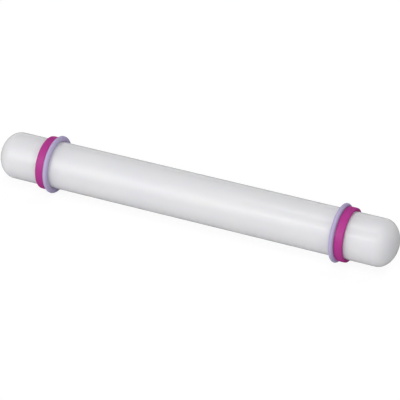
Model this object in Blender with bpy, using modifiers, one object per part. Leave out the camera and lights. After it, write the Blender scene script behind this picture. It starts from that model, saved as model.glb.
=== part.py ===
"""Adjustable rolling pin: a domed roller and two pairs of slip-on guide rings.

The roller lies along X with its middle at the origin, and Z is up.
Near each end a flat thin band sits outboard and a thick rounded ring sits beside it, inboard.
The pin runs on one pair of rings, and their height above the roller sets how thick a sheet it rolls.
Both pairs slide along the roller and come off over the domed ends.
"""

import math

import bpy

# The roller, in metres
ROLLER_LENGTH = 0.2286
ROLLER_DIAMETER = 0.0254
DOME_LENGTH = 0.0094

# The flat thin band, in metres
BAND_WIDTH = 0.0047
BAND_WALL = 0.0016
BAND_EDGE_RADIUS = 0.0004

# The thick ring, in metres. Its section is a superellipse: a squareness of 2 would be an ellipse
RING_WIDTH = 0.0025
RING_WALL = 0.00285
RING_SQUARENESS = 2.7

# Clearances, in metres
BORE_CLEARANCE = 0.0002
SIDE_CLEARANCE = 0.0002

# From each tip of the roller to the outboard side of its band, in metres
LEFT_BAND_INSET = 0.02645
RIGHT_BAND_INSET = 0.0251

# Facets of a full turn, a dome, a band's edge and a ring's section
TURN_STEPS = 72
DOME_STEPS = 14
EDGE_STEPS = 3
SECTION_STEPS = 16

ROLLER_RADIUS = ROLLER_DIAMETER / 2
BORE_RADIUS = ROLLER_RADIUS + BORE_CLEARANCE
MERGE_DISTANCE = ROLLER_RADIUS / 1000

WHITE_POLYETHYLENE = ("white_polyethylene", "E4E4E8", 0.30)
MAGENTA_RUBBER = ("magenta_rubber", "AC3A8A", 0.55)
LAVENDER_RUBBER = ("lavender_rubber", "B2A9CB", 0.50)


def clear_scene():
    for obj in list(bpy.data.objects):
        bpy.data.objects.remove(obj)


def linear(channel):
    """One sRGB channel from 0 to 1, turned to linear light."""
    return channel / 12.92 if channel <= 0.04045 else ((channel + 0.055) / 1.055) ** 2.4


def material(finish):
    """A moulded finish from its name, sRGB hex colour and roughness, made once and then shared."""
    name, colour, roughness = finish
    found = bpy.data.materials.get(name)
    if found:
        return found
    made = bpy.data.materials.new(name)
    made.use_nodes = True
    shader = made.node_tree.nodes["Principled BSDF"]
    channels = [linear(int(colour[i : i + 2], 16) / 255) for i in (0, 2, 4)]
    shader.inputs["Base Color"].default_value = (*channels, 1)
    shader.inputs["Roughness"].default_value = roughness
    shader.inputs["Metallic"].default_value = 0
    return made


def arc(centre, radii, start, end, steps):
    """Points (radius, height) on an ellipse's arc, with both ends. Angles are from the outward direction."""
    points = []
    for step in range(steps + 1):
        angle = start + (end - start) * step / steps
        radius = centre[0] + radii[0] * math.cos(angle)
        height = centre[1] + radii[1] * math.sin(angle)
        points.append((radius, height))
    return points


def turned(name, profile, closed, finish, axis, place):
    """A solid of revolution about the pin's axis.

    The profile is a list of (radius, height) that runs down its outer side. It starts and ends
    on the axis, or closes on itself round a bore. Half a facet of turn puts a flat lowest.
    """
    count = len(profile)
    edges = [(i, (i + 1) % count) for i in range(count if closed else count - 1)]
    mesh = bpy.data.meshes.new(name)
    mesh.from_pydata([(radius, 0, height) for radius, height in profile], edges, [])
    mesh.materials.append(material(finish))
    obj = bpy.data.objects.new(name, mesh)
    screw = obj.modifiers.new("Turn", "SCREW")
    screw.axis = "Z"
    screw.angle = math.tau
    screw.steps = TURN_STEPS
    screw.render_steps = TURN_STEPS
    screw.use_merge_vertices = True
    screw.merge_threshold = MERGE_DISTANCE
    screw.use_smooth_shade = True
    obj.parent = axis
    obj.location = (0, 0, place)
    obj.rotation_euler = (0, 0, math.pi / TURN_STEPS)
    axis.users_collection[0].objects.link(obj)
    return obj


def roller_profile():
    """Half of the roller's outline, tip to tip: a dome, the straight barrel and a dome."""
    dome = (ROLLER_RADIUS, DOME_LENGTH)
    shoulder = ROLLER_LENGTH / 2 - DOME_LENGTH
    upper = arc((0, shoulder), dome, math.pi / 2, 0, DOME_STEPS)
    lower = arc((0, -shoulder), dome, 0, -math.pi / 2, DOME_STEPS)
    upper[0] = (0, ROLLER_LENGTH / 2)
    lower[-1] = (0, -ROLLER_LENGTH / 2)
    return upper + lower


def band_profile():
    """The band's section: a flat strip with its four long edges rounded."""
    inner = BORE_RADIUS + BAND_EDGE_RADIUS
    outer = BORE_RADIUS + BAND_WALL - BAND_EDGE_RADIUS
    side = BAND_WIDTH / 2 - BAND_EDGE_RADIUS
    corner = (BAND_EDGE_RADIUS, BAND_EDGE_RADIUS)
    quarter = math.pi / 2
    outline = []
    for turn, centre in enumerate([(outer, side), (outer, -side), (inner, -side), (inner, side)]):
        start = quarter * (1 - turn)
        outline += arc(centre, corner, start, start - quarter, EDGE_STEPS)
    return outline


def ring_profile():
    """The thick ring's rounded section, with one flat towards the roller and one outermost."""
    power = 2 / RING_SQUARENESS
    half_step = math.pi / SECTION_STEPS
    # Flats, not corners, lie on its four sides, so the section keeps its full width and height
    full = math.cos(half_step) ** power
    middle = BORE_RADIUS + RING_WALL / 2
    outline = []
    for step in range(SECTION_STEPS):
        angle = math.pi / 2 - half_step - math.tau * step / SECTION_STEPS
        out = math.copysign(abs(math.cos(angle)) ** power, math.cos(angle)) / full
        across = math.copysign(abs(math.sin(angle)) ** power, math.sin(angle)) / full
        outline.append((middle + out * RING_WALL / 2, across * RING_WIDTH / 2))
    return outline


def add_guides(side, direction, inset, axis):
    """The band and the ring of one end. The direction is -1 at the left end and 1 at the right."""
    band_outboard = ROLLER_LENGTH / 2 - inset
    band_place = band_outboard - BAND_WIDTH / 2
    ring_place = band_outboard - BAND_WIDTH - SIDE_CLEARANCE - RING_WIDTH / 2
    band_name = "thin_guide_band_" + side
    ring_name = "thick_guide_ring_" + side
    turned(band_name, band_profile(), True, MAGENTA_RUBBER, axis, direction * band_place)
    turned(ring_name, ring_profile(), True, LAVENDER_RUBBER, axis, direction * ring_place)


def build():
    clear_scene()
    collection = bpy.data.collections.new("adjustable_rolling_pin")
    bpy.context.scene.collection.children.link(collection)
    # The pieces are turned about their own Z, which this empty lays along the world's X
    axis = bpy.data.objects.new("pin_axis", None)
    axis.rotation_euler = (0, math.pi / 2, 0)
    collection.objects.link(axis)
    turned("roller", roller_profile(), False, WHITE_POLYETHYLENE, axis, 0)
    add_guides("left", -1, LEFT_BAND_INSET, axis)
    add_guides("right", 1, RIGHT_BAND_INSET, axis)


build()
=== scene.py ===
"""Looks of the adjustable rolling pin: a white roller with two pairs of elastic guide rings."""

import math

import bmesh
import bpy
from mathutils import Matrix, Vector


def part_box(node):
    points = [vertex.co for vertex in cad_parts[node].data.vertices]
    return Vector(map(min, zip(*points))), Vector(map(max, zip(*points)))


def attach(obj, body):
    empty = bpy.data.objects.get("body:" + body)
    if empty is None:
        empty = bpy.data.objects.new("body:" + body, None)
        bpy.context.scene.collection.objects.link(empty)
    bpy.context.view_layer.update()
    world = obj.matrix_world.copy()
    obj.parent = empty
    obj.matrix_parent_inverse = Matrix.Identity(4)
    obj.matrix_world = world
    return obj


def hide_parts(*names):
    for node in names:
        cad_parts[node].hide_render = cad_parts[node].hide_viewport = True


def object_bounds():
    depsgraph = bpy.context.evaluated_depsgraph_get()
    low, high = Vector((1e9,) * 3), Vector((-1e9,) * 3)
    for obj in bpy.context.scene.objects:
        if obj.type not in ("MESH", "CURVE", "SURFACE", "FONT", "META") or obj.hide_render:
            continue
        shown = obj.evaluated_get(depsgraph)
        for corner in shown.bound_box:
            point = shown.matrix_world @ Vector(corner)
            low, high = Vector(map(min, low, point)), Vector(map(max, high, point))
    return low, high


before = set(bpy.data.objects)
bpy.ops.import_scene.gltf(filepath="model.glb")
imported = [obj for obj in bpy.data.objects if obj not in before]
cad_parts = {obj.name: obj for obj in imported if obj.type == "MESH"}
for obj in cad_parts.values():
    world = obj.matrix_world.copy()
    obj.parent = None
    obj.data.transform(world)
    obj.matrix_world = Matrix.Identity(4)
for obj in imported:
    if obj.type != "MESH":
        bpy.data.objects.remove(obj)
cad_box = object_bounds()

MM = 0.001

# The camera, as fitted to the outline in the photograph: its direction in degrees, its distance, how far
# beside and below the object's middle it aims, and its lens and sensor in Blender's own millimetres
CAMERA_AZIMUTH = 25.07
CAMERA_ELEVATION = 31.03
CAMERA_DISTANCE = 1264.8 * MM
AIM_RIGHT = 2.74 * MM
AIM_UP = -1.27 * MM
LENS = 216.3
SENSOR = 36.0

# The roller's shape that the CAD box doesn't give
DOME_LENGTH = 9.4 * MM

# Steps along an outline and round the axis, and the share of the roller's outline that its two domes take
ROLLER_OUTLINE_STEPS = 200
ROLLER_TURN_STEPS = 256
DOMES_SHARE = 0.36
RING_OUTLINE_STEPS = 56
RING_TURN_STEPS = 320

# A section's squareness: 2 is an ellipse, and a higher value is a rounded rectangle
ROUND_SECTION = 2.2
FLAT_SECTION = 5.0

# How much an elastic ring's bore stays off the roller, so that the two don't share a surface
GRIP_GAP = 0.02 * MM
WELD = 0.001 * MM

# The white's colour, from its coolest to its warmest, and its roughness from least to greatest
COOL_WHITE = "#EAEAEF"
WARM_WHITE = "#EFEFF0"
WHITE_GLOSSIEST = 0.13
WHITE_DULLEST = 0.17

# The white's patterns: slow blotches of tint, waves left by shrinkage, and an orange peel
WHITE_BLOTCH = 22 * MM
SHRINKAGE_WAVE = 9 * MM
WAVE_HEIGHT = 0.12 * MM
ORANGE_PEEL = 0.9 * MM
PEEL_HEIGHT = 0.02 * MM

# How far light travels inside the milky white
MILKY_REACH = 9 * MM

# Each rubber's colour, from its darkest to its lightest
MAGENTA = ("#B02E8B", "#BA3693")
LAVENDER = ("#BEB3D9", "#C7BBE1")

# The rubber's roughness where it faces the viewer and where it turns away, how soon it changes from one
# to the other, and how much the mould's grain adds or takes
FACING_ROUGHNESS = 0.36
EDGE_ROUGHNESS = 1.0
EDGE_BLEND = 0.65
GRAIN_ROUGHNESS = 0.03

# The rubber's patterns: slow blotches of tint, and the grain of the mould
RUBBER_BLOTCH = 5 * MM
MOULD_GRAIN = 0.25 * MM
GRAIN_HEIGHT = 0.03 * MM

# The stage, in metres: a floor wider than any view of it
FLOOR_SIZE = 8.0

# The share of light that the floor throws back at the object
LIT_SHARE = 0.6

# What the camera sees of the floor: an even white, and a share of its light, which keeps a faint shadow
FLOOR_WHITE = 0.915
SHADOW_SHARE = 0.14

# Softboxes, which show as the streaks in the white gloss: shape, azimuth and elevation of their direction,
# distance, width along the pin, height and power in watts
SOFTBOXES = {
    "tall_softbox": ("ELLIPSE", -30, 30.8, 1.6, 0.66, 1.7, 2.5),
    "middle_softbox": ("ELLIPSE", -29, 28, 1.6, 0.66, 0.8, 1.15),
    "right_strip": ("RECTANGLE", -14, 31, 1.6, 0.36, 0.16, 0.5),
    "overhead_strip": ("RECTANGLE", -56, 71.7, 1.48, 0.18, 0.5, 0.5),
}

# Fill light from all round, too broad to show in the gloss: azimuth, elevation, height and power in watts
FILLS = {
    "high_fill": (25, 60, 0.9, 6.9),
    "low_front_fill": (-10, 10, 0.5, 6.0),
    "low_left_fill": (-60, 12, 0.5, 4.4),
    "low_camera_fill": (40, 6, 0.4, 4.1),
    "low_right_fill": (75, 8, 0.9, 1.8),
    "back_top_fill": (150, 60, 0.9, 6.7),
    "back_left_fill": (205, 35, 0.9, 3.2),
    "low_back_fill": (185, 6, 0.5, 3.2),
}
FILL_WIDTH = 0.9
FILL_DISTANCE = 1.6


def linear(colour):
    """An sRGB hex colour as linear RGBA."""
    channels = [int(colour[i : i + 2], 16) / 255 for i in (1, 3, 5)]
    return (*(c / 12.92 if c <= 0.04045 else ((c + 0.055) / 1.055) ** 2.4 for c in channels), 1)


def add(tree, kind, inputs=None, **settings):
    """Adds a node with its settings. An input is a value, a socket, or a node for its first output."""
    node = tree.nodes.new(kind)
    for key, value in settings.items():
        setattr(node, key, value)
    for key, value in (inputs or {}).items():
        if isinstance(value, bpy.types.Node):
            value = value.outputs[0]
        if isinstance(value, bpy.types.NodeSocket):
            tree.links.new(value, node.inputs[key])
        else:
            node.inputs[key].default_value = value
    return node


def new_material(name):
    """An empty node material, its tree and its object coordinates."""
    material = bpy.data.materials.new(name)
    material.use_nodes = True
    material.node_tree.nodes.clear()
    coordinates = add(material.node_tree, "ShaderNodeTexCoord")
    return material, material.node_tree, coordinates.outputs["Object"]


def white_polyethylene():
    """Injection-moulded polyethylene: milky, so light bleeds through it, under a soft waxy gloss."""
    material, tree, place = new_material("moulded_white_polyethylene")
    # The white is a little cooler or warmer from place to place, as in thick moulded walls
    clouds = add(tree, "ShaderNodeTexNoise", {"Vector": place, "Scale": 1 / WHITE_BLOTCH, "Detail": 2.0})
    tint = {0: clouds, "A": linear(COOL_WHITE), "B": linear(WARM_WHITE)}
    tint = add(tree, "ShaderNodeMix", tint, data_type="RGBA")
    # The skin has shallow waves under a fine orange peel
    waves = add(tree, "ShaderNodeTexNoise", {"Vector": place, "Scale": 1 / SHRINKAGE_WAVE, "Detail": 1.0})
    peel = add(tree, "ShaderNodeTexNoise", {"Vector": place, "Scale": 1 / ORANGE_PEEL, "Detail": 2.0})
    wavy = add(tree, "ShaderNodeBump", {"Height": waves, "Strength": 0.25, "Distance": WAVE_HEIGHT})
    skin = {"Height": peel, "Normal": wavy, "Strength": 0.15, "Distance": PEEL_HEIGHT}
    skin = add(tree, "ShaderNodeBump", skin)
    gloss = {"Value": clouds, "To Min": WHITE_GLOSSIEST, "To Max": WHITE_DULLEST}
    gloss = add(tree, "ShaderNodeMapRange", gloss)
    finish = {
        "Base Color": tint.outputs["Result"],
        "Roughness": gloss,
        "IOR": 1.51,
        "Subsurface Weight": 1.0,
        "Subsurface Radius": (1.0, 0.95, 0.9),
        "Subsurface Scale": MILKY_REACH,
        "Normal": skin,
    }
    shader = add(tree, "ShaderNodeBsdfPrincipled", finish)
    add(tree, "ShaderNodeOutputMaterial", {"Surface": shader})
    return material


def elastic_rubber(name, dark, light):
    """Moulded elastic rubber: dyed right through, with a soft sheen that fades where it turns away."""
    material, tree, place = new_material(name)
    clouds = add(tree, "ShaderNodeTexNoise", {"Vector": place, "Scale": 1 / RUBBER_BLOTCH, "Detail": 3.0})
    tint = {0: clouds, "A": linear(dark), "B": linear(light)}
    tint = add(tree, "ShaderNodeMix", tint, data_type="RGBA")
    # The mould's grain is felt as fine bumps, and makes the gloss uneven
    grain = add(tree, "ShaderNodeTexNoise", {"Vector": place, "Scale": 1 / MOULD_GRAIN, "Detail": 2.0})
    bump = add(tree, "ShaderNodeBump", {"Height": grain, "Strength": 0.3, "Distance": GRAIN_HEIGHT})
    uneven = {"Value": grain, "To Min": -GRAIN_ROUGHNESS, "To Max": GRAIN_ROUGHNESS}
    uneven = add(tree, "ShaderNodeMapRange", uneven)
    # The sheen spreads out and fades where the surface turns away
    edge = add(tree, "ShaderNodeLayerWeight", {"Blend": EDGE_BLEND})
    spread = {"Value": edge.outputs["Facing"], "To Min": FACING_ROUGHNESS, "To Max": EDGE_ROUGHNESS}
    spread = add(tree, "ShaderNodeMapRange", spread)
    gloss = add(tree, "ShaderNodeMath", {0: spread, 1: uneven}, operation="ADD")
    finish = {
        "Base Color": tint.outputs["Result"],
        "Roughness": gloss,
        "IOR": 1.5,
        "Normal": bump,
    }
    shader = add(tree, "ShaderNodeBsdfPrincipled", finish)
    add(tree, "ShaderNodeOutputMaterial", {"Surface": shader})
    return material


def turned_tree(name, sizes, outline):
    """A Geometry Nodes tree, with these named inputs, that turns an outline round the X axis.

    The outline is a function that gets the tree, its input node and a field that runs from -0.5 to 0.5
    along the outline. It gives the outline's vector field: (along the axis, off the axis, 0).
    """
    tree = bpy.data.node_groups.new(name, "GeometryNodeTree")
    tree.interface.new_socket("Geometry", in_out="OUTPUT", socket_type="NodeSocketGeometry")
    tree.interface.new_socket("Geometry", in_out="INPUT", socket_type="NodeSocketGeometry")
    for size in sizes:
        tree.interface.new_socket(size, in_out="INPUT", socket_type="NodeSocketFloat")
    for steps in ("Outline Steps", "Turn Steps"):
        tree.interface.new_socket(steps, in_out="INPUT", socket_type="NodeSocketInt")
    tree.interface.new_socket("Material", in_out="INPUT", socket_type="NodeSocketMaterial")
    given = add(tree, "NodeGroupInput")
    # A unit grid: X runs along the outline and Y round the axis
    rows = add(tree, "ShaderNodeMath", {0: given.outputs["Outline Steps"], 1: 1}, operation="ADD")
    columns = add(tree, "ShaderNodeMath", {0: given.outputs["Turn Steps"], 1: 1}, operation="ADD")
    unit = {"Size X": 1.0, "Size Y": 1.0, "Vertices X": rows, "Vertices Y": columns}
    grid = add(tree, "GeometryNodeMeshGrid", unit)
    share = add(tree, "ShaderNodeSeparateXYZ", {0: add(tree, "GeometryNodeInputPosition")})
    angle = add(tree, "ShaderNodeMath", {0: share.outputs["Y"], 1: math.tau}, operation="MULTIPLY")
    flat = outline(tree, given, share.outputs["X"])
    turned = add(tree, "ShaderNodeVectorRotate", {"Vector": flat, "Angle": angle}, rotation_type="X_AXIS")
    bent = add(tree, "GeometryNodeSetPosition", {"Geometry": grid, "Position": turned})
    welded = add(tree, "GeometryNodeMergeByDistance", {"Geometry": bent, "Distance": WELD})
    smooth = add(tree, "GeometryNodeSetShadeSmooth", {"Geometry": welded})
    real = add(tree, "GeometryNodeRealizeInstances", {"Geometry": smooth})
    made = add(tree, "GeometryNodeSetMaterial", {"Geometry": real, "Material": given.outputs["Material"]})
    add(tree, "NodeGroupOutput", {0: made})
    return tree


def domed_rod(tree, given, share):
    """Tip to tip: an elliptical dome, the straight barrel and a dome."""
    off_middle = add(tree, "ShaderNodeMath", {0: share}, operation="ABSOLUTE")
    side = add(tree, "ShaderNodeMath", {0: share}, operation="SIGN")
    shoulder_share = (1 - DOMES_SHARE) / 2
    straight = {"Value": off_middle, "From Max": shoulder_share, "To Max": given.outputs["Shoulder"]}
    straight = add(tree, "ShaderNodeMapRange", straight)
    angle = {"Value": off_middle, "From Min": shoulder_share, "From Max": 0.5, "To Max": math.pi / 2}
    angle = add(tree, "ShaderNodeMapRange", angle)
    sine = add(tree, "ShaderNodeMath", {0: angle}, operation="SINE")
    cosine = add(tree, "ShaderNodeMath", {0: angle}, operation="COSINE")
    reach = {0: sine, 1: given.outputs["Dome Length"], 2: straight}
    reach = add(tree, "ShaderNodeMath", reach, operation="MULTIPLY_ADD")
    along = add(tree, "ShaderNodeMath", {0: reach, 1: side}, operation="MULTIPLY")
    radius = add(tree, "ShaderNodeMath", {0: cosine, 1: given.outputs["Radius"]}, operation="MULTIPLY")
    return add(tree, "ShaderNodeCombineXYZ", {"X": along, "Y": radius})


def elastic_section(tree, given, share):
    """Once round a ring's section, a superellipse that grips the roller with its inner side."""
    angle = add(tree, "ShaderNodeMath", {0: share, 1: math.tau}, operation="MULTIPLY")
    cosine = add(tree, "ShaderNodeMath", {0: angle}, operation="COSINE")
    sine = add(tree, "ShaderNodeMath", {0: angle}, operation="SINE")
    circle = add(tree, "ShaderNodeCombineXYZ", {"X": cosine, "Y": sine})
    quarter = add(tree, "ShaderNodeVectorMath", {0: circle}, operation="ABSOLUTE")
    power = add(tree, "ShaderNodeMath", {0: 2.0, 1: given.outputs["Squareness"]}, operation="DIVIDE")
    powers = add(tree, "ShaderNodeCombineXYZ", {"X": power, "Y": power, "Z": 1.0})
    squared = add(tree, "ShaderNodeVectorMath", {0: quarter, 1: powers}, operation="POWER")
    signs = add(tree, "ShaderNodeVectorMath", {0: circle}, operation="SIGN")
    shape = add(tree, "ShaderNodeVectorMath", {0: squared, 1: signs}, operation="MULTIPLY")
    half_size = {"X": given.outputs["Half Width"], "Y": given.outputs["Half Wall"]}
    half_size = add(tree, "ShaderNodeCombineXYZ", half_size)
    middle = {"X": given.outputs["Place"], "Y": given.outputs["Mean Radius"]}
    middle = add(tree, "ShaderNodeCombineXYZ", middle)
    return add(tree, "ShaderNodeVectorMath", {0: shape, 1: half_size, 2: middle}, operation="MULTIPLY_ADD")


def grown(name, tree, sizes, material):
    """A plain mesh object made by the tree with these sizes, with its faces turned outwards."""
    seed = bpy.data.objects.new(name + "_seed", bpy.data.meshes.new(name + "_seed"))
    bpy.context.scene.collection.objects.link(seed)
    modifier = seed.modifiers.new("Shape", "NODES")
    modifier.node_group = tree
    values = dict(sizes, Material=material)
    for item in tree.interface.items_tree:
        if item.in_out == "INPUT" and item.name in values:
            modifier[item.identifier] = values[item.name]
    graph = bpy.context.evaluated_depsgraph_get()
    mesh = bpy.data.meshes.new_from_object(seed.evaluated_get(graph))
    bpy.data.objects.remove(seed)
    # The grid brought an empty first material slot
    mesh.materials.clear()
    mesh.materials.append(material)
    outward = bmesh.new()
    outward.from_mesh(mesh)
    bmesh.ops.recalc_face_normals(outward, faces=outward.faces)
    outward.to_mesh(mesh)
    outward.free()
    mesh.name = name
    piece = bpy.data.objects.new(name, mesh)
    bpy.context.scene.collection.objects.link(piece)
    return piece


def dress(piece, body, node):
    """The piece moves with its body and stands for its CAD node, which is hidden."""
    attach(piece, body)
    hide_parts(node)


def add_roller(material):
    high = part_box("roller")[1]
    sizes = {
        "Shoulder": high.x - DOME_LENGTH,
        "Dome Length": DOME_LENGTH,
        "Radius": high.z,
        "Outline Steps": ROLLER_OUTLINE_STEPS,
        "Turn Steps": ROLLER_TURN_STEPS,
    }
    tree = turned_tree("domed_rod", ["Shoulder", "Dome Length", "Radius"], domed_rod)
    dress(grown("domed_roller", tree, sizes, material), "roller", "roller")


def add_ring(name, node, body, tree, squareness, material):
    """A ring with its node's width and outer radius, drawn tight onto the roller."""
    low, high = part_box(node)
    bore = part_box("roller")[1].z + GRIP_GAP
    sizes = {
        "Place": (low.x + high.x) / 2,
        "Half Width": (high.x - low.x) / 2,
        "Mean Radius": (high.z + bore) / 2,
        "Half Wall": (high.z - bore) / 2,
        "Squareness": squareness,
        "Outline Steps": RING_OUTLINE_STEPS,
        "Turn Steps": RING_TURN_STEPS,
    }
    dress(grown(name, tree, sizes, material), body, node)


def add_rings():
    sizes = ["Place", "Half Width", "Mean Radius", "Half Wall", "Squareness"]
    tree = turned_tree("elastic_ring", sizes, elastic_section)
    magenta = elastic_rubber("moulded_magenta_rubber", *MAGENTA)
    lavender = elastic_rubber("moulded_lavender_rubber", *LAVENDER)
    for side in ("left", "right"):
        band = "thin_guide_band_" + side
        add_ring("magenta_band_" + side, band, "thin_band_" + side, tree, FLAT_SECTION, magenta)
        ring = "thick_guide_ring_" + side
        add_ring("lavender_ring_" + side, ring, "thick_ring_" + side, tree, ROUND_SECTION, lavender)


def direction(azimuth, elevation):
    """Unit vector from the object, azimuth 0 towards -Y and turning to +X, elevation above the floor."""
    a, e = math.radians(azimuth), math.radians(elevation)
    return Vector((math.sin(a) * math.cos(e), -math.cos(a) * math.cos(e), math.sin(e)))


def add_camera():
    camera = bpy.data.objects.new("camera", bpy.data.cameras.new("camera"))
    bpy.context.scene.collection.objects.link(camera)
    back = direction(CAMERA_AZIMUTH, CAMERA_ELEVATION)
    right = Vector((0, 0, 1)).cross(back).normalized()
    up = back.cross(right)
    camera.location = back * CAMERA_DISTANCE + right * AIM_RIGHT + up * AIM_UP
    camera.rotation_euler = back.to_track_quat("Z", "Y").to_euler()
    camera.data.lens = LENS
    camera.data.sensor_width = SENSOR
    bpy.context.scene.camera = camera


def add_lamp(name, shape, azimuth, elevation, distance, width, height, power):
    """An area lamp that looks at the object, with its width level with the pin."""
    data = bpy.data.lights.new(name, "AREA")
    data.shape = shape
    data.size = width
    data.size_y = height
    data.energy = power
    lamp = bpy.data.objects.new(name, data)
    bpy.context.scene.collection.objects.link(lamp)
    away = direction(azimuth, elevation)
    up = away.cross(Vector((1, 0, 0))).normalized()
    lamp.location = away * distance
    lamp.rotation_euler = Matrix((up.cross(away), up, away)).transposed().to_euler()
    return lamp


def add_lamps():
    for name, numbers in SOFTBOXES.items():
        add_lamp(name, *numbers)
    for name, (azimuth, elevation, height, power) in FILLS.items():
        fill = add_lamp(name, "RECTANGLE", azimuth, elevation, FILL_DISTANCE, FILL_WIDTH, height, power)
        fill.visible_glossy = False


def add_world():
    """White to the camera and in reflections, as a light tent is. The lamps alone light the object."""
    world = bpy.data.worlds.new("studio")
    bpy.context.scene.world = world
    world.use_nodes = True
    tree = world.node_tree
    tree.nodes.clear()
    rays = add(tree, "ShaderNodeLightPath")
    seen = {0: rays.outputs["Is Camera Ray"], 1: rays.outputs["Is Glossy Ray"]}
    seen = add(tree, "ShaderNodeMath", seen, operation="MAXIMUM")
    seen = {0: seen, 1: rays.outputs["Is Transmission Ray"]}
    seen = add(tree, "ShaderNodeMath", seen, operation="MAXIMUM")
    background = add(tree, "ShaderNodeBackground", {"Color": (1, 1, 1, 1), "Strength": seen})
    add(tree, "ShaderNodeOutputWorld", {"Surface": background})


def add_floor():
    """A plain white table under the rings. The camera sees it as white with a faint shadow."""
    bpy.ops.mesh.primitive_plane_add(size=FLOOR_SIZE, location=(0, 0, cad_box[0].z))
    floor = bpy.context.object
    floor.name = "floor"
    material, tree, _ = new_material("white_table")
    lit = add(tree, "ShaderNodeBsdfDiffuse", {"Color": (LIT_SHARE, LIT_SHARE, LIT_SHARE, 1)})
    shadow = add(tree, "ShaderNodeBsdfDiffuse", {"Color": (SHADOW_SHARE, SHADOW_SHARE, SHADOW_SHARE, 1)})
    plain = add(tree, "ShaderNodeEmission", {"Color": (1, 1, 1, 1), "Strength": FLOOR_WHITE})
    seen = add(tree, "ShaderNodeAddShader", {0: shadow, 1: plain})
    rays = add(tree, "ShaderNodeLightPath")
    table = add(tree, "ShaderNodeMixShader", {0: rays.outputs["Is Camera Ray"], 1: lit, 2: seen})
    add(tree, "ShaderNodeOutputMaterial", {"Surface": table})
    floor.data.materials.append(material)


bpy.context.scene.view_settings.view_transform = "Standard"
add_camera()
add_roller(white_polyethylene())
add_rings()
add_floor()
add_lamps()
add_world()
